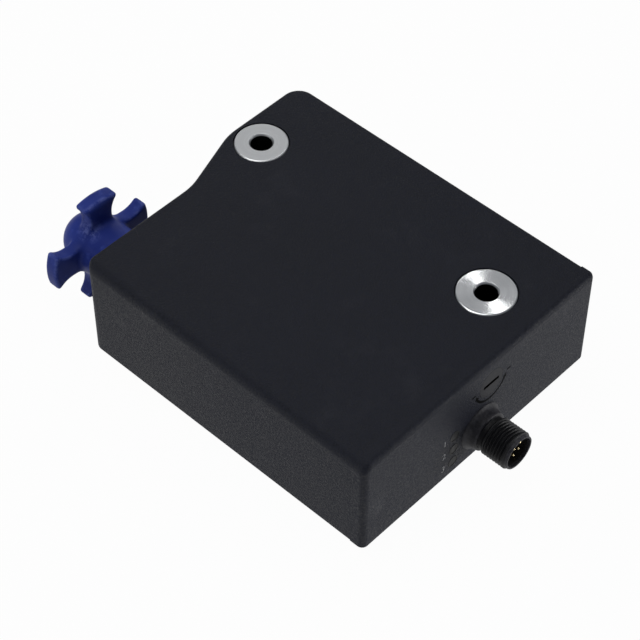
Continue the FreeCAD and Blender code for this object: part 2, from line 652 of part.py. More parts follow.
def notch(index, angle):
    """Cutter for one notch of the locking disc, at an angle from +Y towards +Z."""
    depth = d.notch_depth + 2.0
    cutter = doc.addObject("Part::Box", "notch_%d" % index)
    bind(cutter, "Length", d.disc_thick + 2.0)
    bind(cutter, "Width", depth)
    bind(cutter, "Height", d.notch_width)
    turn = FreeCAD.Rotation(V(1, 0, 0), angle)
    corner = turn.multVec(V(0, DIM["disc_r"] - DIM["notch_depth"], -DIM["notch_width"] / 2))
    cutter.Placement = FreeCAD.Placement(
        V(number(DISC_X) - 1.0, DIM["cross_y"], number(CROSS_Z)) + corner, turn)
    return cutter


def solenoid():
    """Pull solenoid on the Y axis; its armature carries the lock bolt into the disc."""
    x, z, y = COIL_X, CROSS_Z, d.coil_y
    length, thick, width = d.coil_length, d.yoke_thick, d.yoke_width
    outer = box("yoke_block", (width + 2 * thick, length + 2 * thick, width),
                (x, y + length / 2, z), "xyz")
    window = box("yoke_window", (width, length, width + 2.0), (x, y + length / 2, z), "xyz")
    holes = rod("yoke_hole", d.armature_r + 0.5, length + 3 * thick, (x, y - 2 * thick, z), "y")
    node("solenoid_yoke", cut("solenoid_yoke", outer, [window, holes]))
    flange = d.bobbin_flange
    bobbin = fuse("bobbin_solid", [
        rod("bobbin_core", d.bobbin_r, length - 0.2, (x, y + 0.1, z), "y"),
        rod("bobbin_flange_a", d.coil_r + 0.4, flange, (x, y + 0.1, z), "y"),
        rod("bobbin_flange_b", d.coil_r + 0.4, flange, (x, y + length - 0.1 - flange, z), "y")])
    node("coil_bobbin", cut("coil_bobbin", bobbin, [
        rod("bobbin_bore", d.bobbin_bore_r, length + 2.0, (x, y - 1.0, z), "y")]))
    node("coil_winding", tube("coil_winding", d.coil_r, d.bobbin_r + 0.05,
                              length - 2 * flange - 0.6, (x, y + flange + 0.3, z), "y"))
    # the armature pushes the bolt through the fixed pole piece by a thin rod
    pole = rod("pole_solid", d.bobbin_bore_r, d.pole_length, (x, y - thick, z), "y")
    node("pole_piece", cut("pole_piece", pole, [
        rod("pole_bore", d.rod_r + 0.1, d.pole_length + 4.0, (x, y - thick - 2.0, z), "y")]))
    inner_end = y - thick + d.pole_length + d.bolt_throw + 0.4
    armature = rod("armature_solid", d.armature_r, d.armature_length, (x, inner_end, z), "y")
    node("armature", cut("armature", armature, [
        rod("armature_eye", d.rod_r, 6.0, (x, inner_end, z), "y")]))
    rod_start = BOLT_FLANGE_Y + d.bolt_flange
    node("push_rod", rod("push_rod", d.rod_r - 0.02, inner_end + 5.9 - rod_start,
                         (x, rod_start, z), "y"))
    blade = box("bolt_blade", (d.disc_thick + 1.0, BOLT_FLANGE_Y - BOLT_FRONT, d.bolt_width),
                (x, BOLT_FRONT, z), "xz")
    node("lock_bolt", fuse("lock_bolt", [
        blade, rod("bolt_flange", d.bolt_flange_r, d.bolt_flange, (x, BOLT_FLANGE_Y, z), "y")]))
    width, deep = d.guide_width, d.guide_thick
    guide = fuse("guide_solid", [
        box("guide_block", (width, deep, width), (x, GUIDE_Y, z), "xz"),
        box("guide_leg", (width, deep, CEILING - z - 5.0), (x, GUIDE_Y, z + 5.0), "x")])
    node("bolt_guide", cut("bolt_guide", guide, [
        box("guide_window", (d.disc_thick + 1.2, deep + 2.0, d.bolt_width + 0.2),
            (x, GUIDE_Y - 1.0, z), "xz")]))
    start = GUIDE_Y + deep + 0.5
    node("bolt_spring", coil("bolt_spring", 4.4, 0.7, (x, start, z),
                             BOLT_FLANGE_Y - start - 0.5, 5, "y"))


def coil(name, radius, wire, at, length, turns, axis):
    """Compression spring: wire of eight flats swept along a helix."""
    length = number(length)
    helix = doc.addObject("Part::Helix", name + "_helix")
    helix.Pitch, helix.Height, helix.Radius = length / turns, length, radius
    section = doc.addObject("Part::RegularPolygon", name + "_section")
    section.Polygon, section.Circumradius = 8, wire / 2
    section.Placement = FreeCAD.Placement(V(radius, 0, 0), FreeCAD.Rotation(V(1, 0, 0), 90))
    sweep = doc.addObject("Part::Sweep", name)
    sweep.Sections, sweep.Spine = [section], (helix, ["Edge1"])
    sweep.Solid, sweep.Frenet = True, True
    doc.recompute()
    return place(sweep, at, axis)


def electronics():
    z, thick = BOARD_Z, d.board_thick
    (x0, x1), (y0, y1) = BOARD_X, BOARD_Y
    board = box("board_plate", (x1 - x0, y1 - y0, thick), (x0, y0, z))
    holes = [rod("board_hole_%d" % i, 1.2, thick + 2.0, (x, y, z - 1.0))
             for i, (x, y) in enumerate(BOARD_PEGS)]
    node("circuit_board", cut("circuit_board", board, holes))
    # chips and cans hang under the board: places are measured from its corner
    chips = [((12.0, 12.0, 1.6), (23.0, 12.0)), ((7.0, 9.0, 1.4), (39.0, 10.0)),
             ((6.0, 5.0, 2.2), (9.0, 22.0)), ((9.0, 7.0, 1.8), (37.0, 30.0)),
             ((4.6, 4.6, 3.2), (11.0, 32.0)), ((4.0, 6.0, 2.0), (27.0, 27.0))]
    node("board_chips", group("board_chips", [
        box("chip_%d" % i, size, (x0 + x, y0 + y, z - size[2])) for i, (size, (x, y)) in
        enumerate(chips)]))
    cans = [(3.1, 7.0, (52.0, 18.0)), (3.1, 7.0, (52.0, 10.0)), (2.4, 5.6, (17.0, 49.6))]
    node("board_capacitors", group("board_capacitors", [
        rod("capacitor_%d" % i, r, h, (x0 + x, y0 + y, z - h))
        for i, (r, h, (x, y)) in enumerate(cans)]))
    # sensing coil behind the recessed wall, round the bearing pad
    node("sensor_coil", tube("sensor_coil", PAD_R + 2.8, PAD_R + 0.3, 2.0,
                             (d.wall + 0.3 - d.face_recess, d.cross_y, CROSS_Z), "x"))


def connector():
    y, z, face = d.plug_y, d.plug_z, d.face_connector
    # the stem passes through cap and wall, and takes the seal and nut behind them
    inside = face - INSIDE + d.plug_tail
    profile = [
        (-inside, d.plug_bore_r), (-inside, d.plug_stem_r), (0.0, d.plug_stem_r),
        (0.0, d.plug_base_r), (0.7, d.plug_base_r), (d.plug_base, d.plug_base_r - 0.5),
        (d.plug_base + 0.3, d.plug_collar_r + 0.2), (d.plug_collar - 0.3, d.plug_collar_r),
        (d.plug_collar, d.plug_collar_r - 0.3), (d.plug_collar, d.plug_relief_r),
        (d.plug_relief, d.plug_relief_r), (d.plug_relief + 0.5, d.thread_r),
        (d.thread_end, d.thread_r), (d.thread_end + 0.4, d.plug_lip_r),
        (d.plug_end, d.plug_lip_r), (d.plug_end, d.plug_bore_r)]
    node("connector_body", turned("connector_body", profile, (face, y, z), "x"))
    carrier = rod("carrier_plug", d.plug_bore_r - 0.05, d.plug_floor + inside,
                  (face - inside, y, z), "x")
    # seven contacts on a circle and one in the middle
    seats = [((y + d.pin_circle_r * math.cos(a)), (z + d.pin_circle_r * math.sin(a)))
             for a in [math.radians(15 + 360 / 7 * k) for k in range(7)]] + [(y, z)]
    node("contact_carrier", cut("contact_carrier", carrier, [
        rod("pin_hole_%d" % i, d.pin_r, inside + d.plug_end, (face - inside - 1.0, py, pz), "x")
        for i, (py, pz) in enumerate(seats)]))
    node("contact_pins", group("contact_pins", [
        rod("contact_%d" % i, d.pin_r, d.pin_tip + inside + 2.0, (face - inside - 2.0, py, pz),
            "x") for i, (py, pz) in enumerate(seats)]))
    node("connector_seal", tube("connector_seal", d.plug_stem_r + 1.5, d.plug_stem_r + 0.05, 1.0,
                                (INSIDE - 1.0, y, z), "x"))
    nut = doc.addObject("Part::Prism", "nut_hexagon")
    nut.Polygon = 6
    bind(nut, "Circumradius", d.nut_r)
    bind(nut, "Height", d.nut_thick)
    nut_x = INSIDE - 1.0 - d.nut_thick
    place(nut, (nut_x, y, z), "x")
    node("connector_nut", cut("connector_nut", nut, [
        rod("nut_bore", d.plug_stem_r + 0.02, d.nut_thick + 2.0, (nut_x - 1.0, y, z), "x")]))


def indicators():
    """Light pipes through cap and wall, each with its lamp on a small board behind."""
    face, y = d.face_connector, d.lamp_y
    pipe_end = INSIDE - d.lamp_collar - 2.0
    pipes, lamps = [], []
    for i, z in enumerate(LAMPS):
        pipes.append(fuse("light_pipe_%d" % i, [
            rod("pipe_rod_%d" % i, d.lamp_r, face - pipe_end, (pipe_end, y, z), "x"),
            rod("pipe_collar_%d" % i, d.lamp_r + 0.5, d.lamp_collar,
                (INSIDE - d.lamp_collar, y, z), "x")]))
        lamps.append(box("lamp_%d" % i, (1.8, 2.0, 2.0), (pipe_end - 2.2, y, z), "yz"))
    node("light_pipes", group("light_pipes", pipes))
    node("indicator_lamps", group("indicator_lamps", lamps))
    node("lamp_board", box("lamp_board", (1.2, 9.0, 2 * d.lamp_pitch + 3.6),
                           (pipe_end - 3.4, y, LAMPS[1] + 0.4), "yz"))


def release():
    """Slotted spindle, let into the connector face, with a cam at its inner end."""
    face, y, z = d.face_connector, d.release_y, RELEASE_Z
    length = face - CAM_X + 0.3
    spindle = fuse("release_solid", [
        rod("release_head", d.release_head_r, d.release_head, (face - d.release_head, y, z), "x"),
        rod("release_stem", d.release_stem_r, length, (face - length, y, z), "x")])
    node("release_spindle", cut("release_spindle", spindle, [
        box("release_slot", (3.0, 2 * d.release_head_r * 0.66, d.release_slot),
            (face - d.release_slot_depth, y, z), "yz")]))
    cam = cut("release_cam", fuse("cam_solid", [
        rod("cam_hub", d.release_stem_r + 1.4, d.cam_thick, (CAM_X, y, z), "x"),
        box("cam_lobe", (d.cam_thick, 3.2, d.cam_reach), (CAM_X, y, z - d.cam_reach), "y")]),
        [rod("cam_bore", d.release_stem_r + 0.02, d.cam_thick + 2.0, (CAM_X - 1.0, y, z), "x")])
    node("release_cam", cam)
    node("release_seal", tube("release_seal", d.release_stem_r + 1.3, d.release_stem_r + 0.06,
                              d.release_seal, (INSIDE - d.release_seal - 0.05, y, z), "x"))


node("front_shell", housing_shell())
end_cap()
back_parts()
fixing_bushes()
rotary_cross()
shaft_parts()
solenoid()
electronics()
connector()
indicators()
release()
doc.recompute()

broken = ["%s %s" % (o.Name, o.State) for o in doc.Objects
          if "Invalid" in o.State or "Error" in o.State]
if broken:
    raise RuntimeError("not built: " + ", ".join(broken))
os.makedirs("parts", exist_ok=True)
for name, obj in NODES.items():
    shape = obj.Shape
    if shape.isNull() or not shape.isValid() or not shape.Solids:
        raise RuntimeError("bad shape: " + name)
    shape.exportStep("parts/%s.step" % name)
    bounds = shape.BoundBox
    print("%-18s solids %d volume %9.1f  x %.1f..%.1f y %.1f..%.1f z %.1f..%.1f" % (
        name, len(shape.Solids), shape.Volume, bounds.XMin, bounds.XMax, bounds.YMin,
        bounds.YMax, bounds.ZMin, bounds.ZMax))
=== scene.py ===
import json
import math

import bmesh
import bpy
from mathutils import Matrix, Vector


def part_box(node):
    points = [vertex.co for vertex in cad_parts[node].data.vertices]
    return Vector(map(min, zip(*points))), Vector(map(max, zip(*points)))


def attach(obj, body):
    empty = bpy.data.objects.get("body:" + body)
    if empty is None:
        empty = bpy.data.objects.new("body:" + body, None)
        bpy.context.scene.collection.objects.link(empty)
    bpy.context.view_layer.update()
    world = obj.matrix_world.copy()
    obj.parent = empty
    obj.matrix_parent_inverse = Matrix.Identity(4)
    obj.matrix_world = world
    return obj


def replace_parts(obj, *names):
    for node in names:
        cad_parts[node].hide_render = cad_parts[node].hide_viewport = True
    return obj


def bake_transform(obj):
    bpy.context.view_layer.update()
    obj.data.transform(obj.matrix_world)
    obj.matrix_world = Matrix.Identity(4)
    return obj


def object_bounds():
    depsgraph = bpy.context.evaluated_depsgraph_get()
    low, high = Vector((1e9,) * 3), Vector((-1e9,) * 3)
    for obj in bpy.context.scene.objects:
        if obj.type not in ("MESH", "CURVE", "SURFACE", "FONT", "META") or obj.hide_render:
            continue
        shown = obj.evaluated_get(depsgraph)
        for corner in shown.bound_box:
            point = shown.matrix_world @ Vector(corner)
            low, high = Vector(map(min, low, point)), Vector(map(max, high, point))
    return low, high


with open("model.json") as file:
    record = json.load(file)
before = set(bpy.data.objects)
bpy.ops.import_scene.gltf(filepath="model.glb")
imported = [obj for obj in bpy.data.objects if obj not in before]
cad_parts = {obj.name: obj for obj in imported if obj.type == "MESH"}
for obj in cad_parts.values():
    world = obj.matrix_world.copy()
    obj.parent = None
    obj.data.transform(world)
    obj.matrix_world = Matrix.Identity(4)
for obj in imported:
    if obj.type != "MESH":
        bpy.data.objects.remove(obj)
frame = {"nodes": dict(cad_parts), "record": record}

CAD_BOX = [list(corner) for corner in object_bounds()]
MM = 0.001


# ---------------------------------------------------------------- camera
def add_camera():
    """Long lens above the corner between the label side and the connector face."""
    right = Vector((0.72638, 0.68729, 0.00103))
    forward = Vector((-0.45620, 0.48326, -0.74723))
    up = right.cross(forward)
    lens = bpy.data.cameras.new("camera")
    lens.sensor_width = 36.0
    lens.lens = 115.2
    lens.shift_x, lens.shift_y = 0.00825, -0.0006
    lens.clip_start, lens.clip_end = 0.05, 60.0
    camera = bpy.data.objects.new("camera", lens)
    turn = Matrix((right, up, -forward)).transposed().to_4x4()
    camera.matrix_world = Matrix.Translation((0.27085, -0.30993, 0.45219)) @ turn
    bpy.context.scene.collection.objects.link(camera)
    bpy.context.scene.camera = camera


add_camera()
bpy.context.scene.view_settings.view_transform = "Standard"


# ---------------------------------------------------------------- places from the CAD
def centre(name):
    low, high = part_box(name)
    return (Vector(low) + Vector(high)) / 2


PLUG = centre("connector_body")
RELEASE = centre("release_spindle")
WINDOWS_Y = centre("light_pipes").y
PIPE_COLLAR = 2.1 * MM
LOWEST_WINDOW, HIGHEST_WINDOW = (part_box("light_pipes")[0][2] + PIPE_COLLAR,
                                 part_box("light_pipes")[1][2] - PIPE_COLLAR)
CROSS_AXIS = centre("cross_shaft")
DOME_TIP_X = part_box("rotary_cross")[0][0]
# the arm's root, where a pale patch is painted on the cross as a highlight
ROOT_HIGHLIGHT_CENTRE = Vector((DOME_TIP_X + 12.3 * MM, CROSS_AXIS.y - 3.8 * MM, CROSS_AXIS.z + 9.0 * MM))
BUSHES = {"left": "fixing_bush_left", "right": "fixing_bush_right"}
BUSH_X = centre(BUSHES["right"]).x
CASE_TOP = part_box(BUSHES["left"])[1][2]
END_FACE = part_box("end_cap")[1][0]
# half sizes of the band round the release slot that is painted dark as shade
SLOT_SHADE_HALF_WIDTH, SLOT_SHADE_HALF_LENGTH = 0.68 * MM, 2.6 * MM


# ---------------------------------------------------------------- node vocabulary
class Wire:
    """An output socket that can be added, multiplied and compared like a number."""

    def __init__(self, web, socket):
        self.web, self.socket = web, socket

    def _math(self, operation, *values):
        return self.web.node("ShaderNodeMath", dict(enumerate(values)), operation=operation)

    def __add__(self, other):
        return self._math("ADD", self, other)

    __radd__ = __add__

    def __mul__(self, other):
        return self._math("MULTIPLY", self, other)

    __rmul__ = __mul__

    def __sub__(self, other):
        return self._math("SUBTRACT", self, other)

    def __rsub__(self, other):
        return self._math("SUBTRACT", other, self)

    def __truediv__(self, other):
        return self._math("DIVIDE", self, other)

    def __lt__(self, other):
        return self._math("LESS_THAN", self, other)

    def __gt__(self, other):
        return self._math("GREATER_THAN", self, other)

    def root(self):
        return self._math("SQRT", self)

    def fraction(self):
        return self._math("FRACT", self)

    def size(self):
        return self._math("ABSOLUTE", self)

    def sine(self):
        return self._math("SINE", self)

    def angle(self, other):
        return self._math("ARCTAN2", self, other)

    def fit(self, low, high, to_low=0.0, to_high=1.0):
        """The range low..high mapped to to_low..to_high, and held at its ends."""
        return self.web.node("ShaderNodeMapRange", {
            "Value": self, "From Min": low, "From Max": high, "To Min": to_low,
            "To Max": to_high}, "Result")


def reach(a, b):
    """How far a point lies from an axis that it is a and b away from."""
    return (a * a + b * b).root()


class Web:
    """A node tree written as expressions."""

    def __init__(self, tree):
        self.tree = tree

    def feed(self, slot, value):
        if isinstance(value, Wire):
            self.tree.links.new(value.socket, slot)
        elif slot.type == "RGBA":
            slot.default_value = (*value[:3], 1.0)
        else:
            slot.default_value = value

    def node(self, kind, inputs=None, output=0, **settings):
        node = self.tree.nodes.new(kind)
        for name, value in settings.items():
            setattr(node, name, value)
        for name, value in (inputs or {}).items():
            self.feed(node.inputs[name], value)
        return Wire(self, node.outputs[output]) if node.outputs else node

    def split(self, vector):
        x = self.node("ShaderNodeSeparateXYZ", {0: vector})
        return [Wire(self, out) for out in x.socket.node.outputs]

    def join(self, x, y, z):
        return self.node("ShaderNodeCombineXYZ", {0: x, 1: y, 2: z})

    def vector(self, operation, a, b):
        return self.node("ShaderNodeVectorMath", {0: a, 1: b}, operation=operation)

    def stretch(self, vector, factor):
        return self.node("ShaderNodeVectorMath", {0: vector, "Scale": factor}, operation="SCALE")


class Shade(Web):
    """A principled material built from procedural nodes."""

    def __init__(self, name, **constants):
        self.material = bpy.data.materials.new(name)
        self.material.use_nodes = True
        super().__init__(self.material.node_tree)
        self.tree.nodes.clear()
        self.surface = self.node("ShaderNodeBsdfPrincipled")
        self.output = self.node("ShaderNodeOutputMaterial")
        self.show(self.surface)
        for name, value in constants.items():
            self.set(name.replace("_", " "), value)

    def show(self, surface):
        self.feed(self.output.inputs["Surface"], surface)

    def set(self, name, value):
        """A constant goes on the shader's own socket, a Wire is linked to it."""
        self.feed(self.surface.socket.node.inputs[name], value)

    def place(self):
        """Object coordinates in metres."""
        return self.node("ShaderNodeTexCoord", output="Object")

    def noise(self, per_metre, detail=2.0, roughness=0.5, vector=None):
        return self.node("ShaderNodeTexNoise", {
            "Vector": vector or self.place(), "Scale": per_metre, "Detail": detail,
            "Roughness": roughness}, "Fac")

    def cells(self, per_metre, vector=None):
        return self.node("ShaderNodeTexVoronoi", {
            "Vector": vector or self.place(), "Scale": per_metre}, "Distance")

    def mix(self, factor, a, b):
        """Colour a where factor is 0, b where it is 1."""
        return self.node("ShaderNodeMix", {"Factor": factor, 6: a, 7: b}, 2, data_type="RGBA")

    def bump(self, height, distance):
        """height 0..1 stands distance metres proud."""
        self.set("Normal", self.node("ShaderNodeBump", {
            "Height": height, "Distance": distance, "Strength": 1.0}, "Normal"))


class Grow(Web):
    """A Geometry Nodes tree with named sizes, baked into a plain mesh."""

    def __init__(self, name, sizes):
        super().__init__(bpy.data.node_groups.new(name, "GeometryNodeTree"))
        face = self.tree.interface
        face.new_socket("Geometry", in_out="INPUT", socket_type="NodeSocketGeometry")
        face.new_socket("Geometry", in_out="OUTPUT", socket_type="NodeSocketGeometry")
        self.sizes = {}
        for size, value in sizes.items():
            socket = face.new_socket(size, in_out="INPUT", socket_type="NodeSocketFloat")
            self.sizes[socket.identifier] = float(value)
        self.start = self.node("NodeGroupInput")
        self.named = {size: Wire(self, self.start.socket.node.outputs[size]) for size in sizes}
        self.end = self.node("NodeGroupOutput")

    def __getitem__(self, size):
        return self.named[size]

    def move(self, geometry, offset):
        return self.node("GeometryNodeSetPosition", {"Geometry": geometry, "Offset": offset})

    def place(self):
        return self.node("GeometryNodeInputPosition")

    def bake(self, geometry, mesh, material):
        """The tree run on mesh: real, in one material, with the modifier gone."""
        real = self.node("GeometryNodeRealizeInstances", {"Geometry": geometry})
        done = self.node("GeometryNodeSetMaterial", {"Geometry": real, "Material": material})
        self.feed(self.end.inputs[0], done)
        blank = bpy.data.objects.new("blank", mesh)
        bpy.context.scene.collection.objects.link(blank)
        grow = blank.modifiers.new("grow", "NODES")
        grow.node_group = self.tree
        for identifier, value in self.sizes.items():
            grow[identifier] = value
        depsgraph = bpy.context.evaluated_depsgraph_get()
        baked = bpy.data.meshes.new_from_object(blank.evaluated_get(depsgraph),
                                                preserve_all_data_layers=True,
                                                depsgraph=depsgraph)
        blank.modifiers.clear()
        bpy.data.objects.remove(blank)
        return baked


# ---------------------------------------------------------------- materials
def moulded(name, dark, light, rough=(0.42, 0.56), grain=0.00003, **constants):
    """Spark-eroded moulding: fine grain, faint flow clouds and a few pale specks."""
    s = Shade(name, **constants)
    clouds, fine, pores = s.noise(22.0, 3.0), s.noise(2600.0), s.noise(900.0, 1.0)
    specks = s.cells(620.0).fit(0.05, 0.09, 1.0, 0.0) * (s.noise(160.0) > 0.66)
    base = s.mix((clouds * 0.7 + pores * 0.3).fit(0.36, 0.64), dark, light)
    s.set("Base Color", s.mix(specks * 0.35, base, [min(1.0, 3.5 * c + 0.05) for c in light]))
    s.set("Roughness", (clouds * 0.5 + fine * 0.5).fit(0.35, 0.65, *rough))
    s.bump(fine * 0.7 + pores * 0.3, grain)
    return s


def case_plastic():
    """The case: an eroded charcoal grain, hairline scuffs, dust and polished rubs."""
    s = Shade("housing_plastic", Specular_IOR_Level=0.20)
    where = s.place()
    clouds, fine = s.noise(18.0, 4.0, 0.6), s.noise(4200.0)
    grain = s.noise(1700.0, 2.0, 0.6)
    tilted = s.node("ShaderNodeVectorRotate", {"Vector": where, "Angle": 0.5},
                    rotation_type="Z_AXIS")
    lines = s.cells(1.0, s.vector("MULTIPLY", tilted, (14.0, 420.0, 90.0)))
    scuffs = lines.fit(0.02, 0.05, 1.0, 0.0) * s.noise(38.0).fit(0.62, 0.74)
    dust = s.cells(480.0).fit(0.04, 0.08, 1.0, 0.0) * (s.noise(90.0) > 0.60)
    rubs = s.noise(70.0, 4.0, 0.6).fit(0.58, 0.74)
    base = s.mix((clouds * 0.3 + grain * 0.7).fit(0.42, 0.58),
                 (0.0026, 0.0036, 0.0086), (0.0094, 0.0108, 0.0186))
    s.set("Base Color", s.mix(scuffs * 0.25 + dust * 0.25 + rubs * 0.02, base,
                              (0.10, 0.10, 0.11)))
    s.set("Roughness", (clouds * 0.2 + grain * 0.8).fit(0.40, 0.60, 0.46, 0.69) - rubs * 0.08)
    s.bump(grain * 0.65 + fine * 0.35 - scuffs * 0.4, 0.00028)
    return s


def plug_plastic():
    """The plug's black moulding, with painted light: its collar and its lip are painted paler than
    its thread.
    """
    s = Shade("connector_plastic", Specular_IOR_Level=0.22)
    x = s.split(s.place())[0]
    # painted light: the collar and the lip get a paler colour, as lit bands
    painted_light_bands = (x.fit(END_FACE + 0.0034, END_FACE + 0.0040, 1.0, 0.0)
              + x.fit(END_FACE + 0.0129, END_FACE + 0.0132))
    clouds, fine, pores = s.noise(60.0, 3.0), s.noise(2600.0), s.noise(1100.0, 2.0, 0.6)
    black = s.mix(clouds.fit(0.36, 0.64), (0.0050, 0.0050, 0.0060), (0.0090, 0.0090, 0.0104))
    pale = s.mix(pores.fit(0.40, 0.62), (0.0160, 0.0156, 0.0200), (0.0420, 0.0410, 0.0480))
    s.set("Base Color", s.mix(painted_light_bands * 0.8, black, pale))
    s.set("Roughness", (clouds * 0.5 + pores * 0.5).fit(0.35, 0.65, 0.44, 0.60))
    s.bump(fine * 0.4 + pores * 0.6, 0.00006)
    return s


def cross_plastic():
    """Blue acetal: smooth and waxy, paler where its edges and tips show wear, and with a painted
    highlight at one arm's root.
    """
    s = Shade("cross_plastic", Specular_IOR_Level=0.07)
    clouds, fine = s.noise(70.0, 3.0), s.noise(1500.0)
    marks = s.noise(300.0, 4.0, 0.65).fit(0.56, 0.72)
    edge = s.node("ShaderNodeAttribute", output="Fac", attribute_name="edge")
    root = s.node("ShaderNodeVectorMath", {0: s.place(), 1: ROOT_HIGHLIGHT_CENTRE}, output="Value",
                  operation="DISTANCE")
    # painted highlight: a pale patch round the arm's root, broken up by noise
    root_highlight = root.fit(0.0008, 0.0044, 1.0, 0.0) * s.noise(600.0, 3.0, 0.7).fit(0.44, 0.56)
    wear_and_highlight = edge.fit(0.06, 0.20) * s.noise(420.0, 3.0, 0.7).fit(0.38, 0.62) + root_highlight * 1.1
    base = s.mix(clouds.fit(0.35, 0.65), (0.0150, 0.0265, 0.165), (0.0260, 0.0440, 0.240))
    scuffed = s.mix(marks * 0.45, base, (0.055, 0.085, 0.34))
    s.set("Base Color", s.mix(wear_and_highlight * 0.42, scuffed, (0.16, 0.20, 0.50)))
    s.set("Roughness", clouds.fit(0.3, 0.7, 0.36, 0.46) + marks * 0.12 + wear_and_highlight * 0.15)
    s.bump(clouds * 0.4 + fine * 0.3 + marks * 0.3, 0.00004)
    return s


def faced_metal(name, colour, rough):
    """Lathe-faced bush: each ring of the tool is a little brighter or duller."""
    s = Shade(name, Metallic=1.0)
    x, y, z = s.split(s.place())
    out = x.size() - BUSH_X
    # the left bush (x below 0) gets a 14 % darker colour and a rougher finish
    left_bush = x < 0.0
    radius = reach(out, y)
    rings = s.noise(1.0, 3.0, 0.7, s.join(radius * 5200.0, 0.0, 0.0))
    bands = s.noise(1.0, 2.0, 0.5, s.join(radius * 900.0, 3.0, 0.0))
    stains = s.noise(260.0, 4.0, 0.6).fit(0.62, 0.80)
    # painted shade: the bore is painted near black from 0.9 mm below the top, fading out by 0.2 mm
    # below it
    bore = z.fit(CASE_TOP - 0.0009, CASE_TOP - 0.0002)
    bright = s.mix((rings * 0.6 + bands * 0.4).fit(0.3, 0.7), [0.78 * c for c in colour], colour)
    used = s.mix(stains * 0.25, bright, [0.55 * c for c in colour])
    s.set("Base Color", s.mix(bore, (0.05, 0.05, 0.05), s.mix(left_bush * 0.14, used, (0, 0, 0))))
    s.set("Roughness", rings.fit(0.3, 0.7, rough - 0.03, rough + 0.05) + stains * 0.1
          + left_bush * 0.18)
    s.bump(rings * 0.7 + bands * 0.3, 0.000003)
    return s


def metal(name, colour, rough, **constants):
    """Machined or plated metal with faint draw lines."""
    s = Shade(name, Metallic=1.0, **constants)
    clouds = s.noise(120.0, 3.0)
    lines = s.noise(1.0, vector=s.vector("MULTIPLY", s.place(), (260.0, 2600.0, 2600.0)))
    base = s.mix(clouds.fit(0.3, 0.7), [0.82 * c for c in colour], colour)
    s.set("Base Color", s.mix(s.noise(700.0, 3.0).fit(0.62, 0.8) * 0.4, base,
                              [0.4 * c for c in colour]))
    s.set("Roughness", (clouds * 0.5 + lines * 0.5).fit(0.3, 0.7, rough - 0.06, rough + 0.08))
    s.bump(lines, 0.000008)
    return s


def wound_wire(name, colour, axis):
    """Enamelled winding: close turns along an axis."""
    s = Shade(name, Metallic=1.0, Coat_Weight=0.3)
    along = s.split(s.place())["XYZ".index(axis)]
    turns = (along * (math.tau / 0.0005)).sine().fit(-1, 1)
    # painted shade: the colour darkens in the grooves between the turns
    base = s.mix(turns, [0.45 * c for c in colour], colour)
    s.set("Base Color", s.mix(s.noise(300.0, 3.0).fit(0.5, 0.8) * 0.4, base,
                              [0.6 * c for c in colour]))
    s.set("Roughness", turns.fit(0, 1, 0.42, 0.28))
    s.bump(turns, 0.0001)
    return s


def rubber(name):
    s = Shade(name, Specular_IOR_Level=0.35)
    bloom = s.noise(180.0, 4.0, 0.6)
    s.set("Base Color", s.mix(bloom.fit(0.4, 0.75), (0.010, 0.010, 0.011), (0.03, 0.03, 0.032)))
    s.set("Roughness", bloom.fit(0.3, 0.7, 0.55, 0.75))
    s.bump(s.noise(2200.0), 0.00003)
    return s


def board(name):
    """Circuit board: tracks under green resist."""
    s = Shade(name, Specular_IOR_Level=0.5)
    tracks = s.node("ShaderNodeTexBrick", {
        "Vector": s.place(), "Scale": 160.0, "Mortar Size": 0.02, "Color1": (0, 0, 0),
        "Color2": (0, 0, 0), "Mortar": (1, 1, 1)}, "Fac")
    s.set("Base Color", s.mix(tracks, (0.006, 0.060, 0.022), (0.02, 0.13, 0.05)))
    s.set("Roughness", s.noise(300.0).fit(0.3, 0.7, 0.28, 0.4))
    s.bump(tracks * 0.6 + s.noise(1500.0) * 0.4, 0.00004)
    return s


def smoked_window(name):
    """Light pipe, unlit: a smoked window whose tone varies at random."""
    s = Shade(name, Specular_IOR_Level=0.15)
    milk = s.noise(900.0)
    s.set("Base Color", s.mix(milk.fit(0.35, 0.65), (0.0045, 0.0045, 0.0050),
                              (0.0100, 0.0100, 0.0110)))
    s.set("Roughness", milk.fit(0.3, 0.7, 0.42, 0.55))
    s.bump(milk, 0.00002)
    return s


def slotted_plastic(name):
    """The release spindle: as the case, with painted shade in its slot and below its face."""
    s = Shade(name, Specular_IOR_Level=0.20)
    x, y, z = s.split(s.place())
    off_slot = (z - RELEASE.z).size() > SLOT_SHADE_HALF_WIDTH
    past_end = (y - RELEASE.y).size() > SLOT_SHADE_HALF_LENGTH
    grain = s.noise(1900.0, 2.0, 0.6)
    base = s.mix(grain.fit(0.36, 0.64), (0.0050, 0.0056, 0.0086), (0.0105, 0.0112, 0.0150))
    # painted shade: near black inside the slot band and deeper than 0.4 mm below the face
    s.set("Base Color", s.mix((off_slot + past_end) * x.fit(END_FACE - 0.0004, END_FACE - 0.00003),
                              (0.001, 0.001, 0.001), base))
    s.set("Roughness", grain.fit(0.3, 0.7, 0.50, 0.62))
    s.bump(grain, 0.00004)
    return s


def ink(name, colour, shine):
    """Marked or printed line: slightly broken, as on a grained surface."""
    s = Shade(name, Specular_IOR_Level=shine)
    broken = s.noise(2400.0, 3.0, 0.6)
    s.set("Base Color", s.mix(broken.fit(0.35, 0.6), [0.6 * c for c in colour], colour))
    s.set("Roughness", broken.fit(0.3, 0.7, 0.5, 0.7))
    s.bump(broken, 0.00001)
    return s


